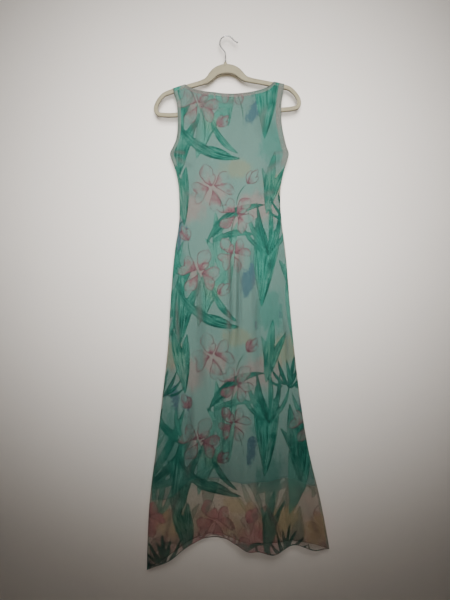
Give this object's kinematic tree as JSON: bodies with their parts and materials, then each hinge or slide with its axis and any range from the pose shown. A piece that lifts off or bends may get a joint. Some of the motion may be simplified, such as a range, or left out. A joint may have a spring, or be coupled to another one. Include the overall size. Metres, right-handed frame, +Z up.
{
  "type": "sleeveless maxi dress on a hanger",
  "caption": "Long sleeveless boat-neck dress of printed sheer stretch mesh over a shorter plain lining, hanging flat on a slim flocked hanger with a wire hook.",
  "frame": {"origin": "inner crown of the hanger's hook, where the rail or wall hook carries it", "axes": "+Z up along the hanging dress, +X to the right seen from the front, the dress's front faces -Y"},
  "size_m": [0.5482, 0.0726, 1.6036],
  "materials": {
    "printed_mesh": "sheer stretch mesh with a painted botanical print on a mint ground",
    "mint_lining": "plain mint jersey lining",
    "turned_edge": "narrow turned and rolled edges of the mesh",
    "flocked_hanger": "beige flocking over moulded plastic",
    "steel_wire": "bright steel wire"
  },
  "bodies": {
    "root": {"front_panel": "printed_mesh", "back_panel": "printed_mesh", "front_lining": "mint_lining", "back_lining": "mint_lining", "front_neck_edge": "turned_edge", "back_neck_edge": "turned_edge", "front_left_armhole_edge": "turned_edge", "front_right_armhole_edge": "turned_edge", "back_left_armhole_edge": "turned_edge", "back_right_armhole_edge": "turned_edge", "front_hem": "turned_edge", "back_hem": "turned_edge", "hanger_body": "flocked_hanger", "hanger_hook": "steel_wire"}
  },
  "joints": []
}
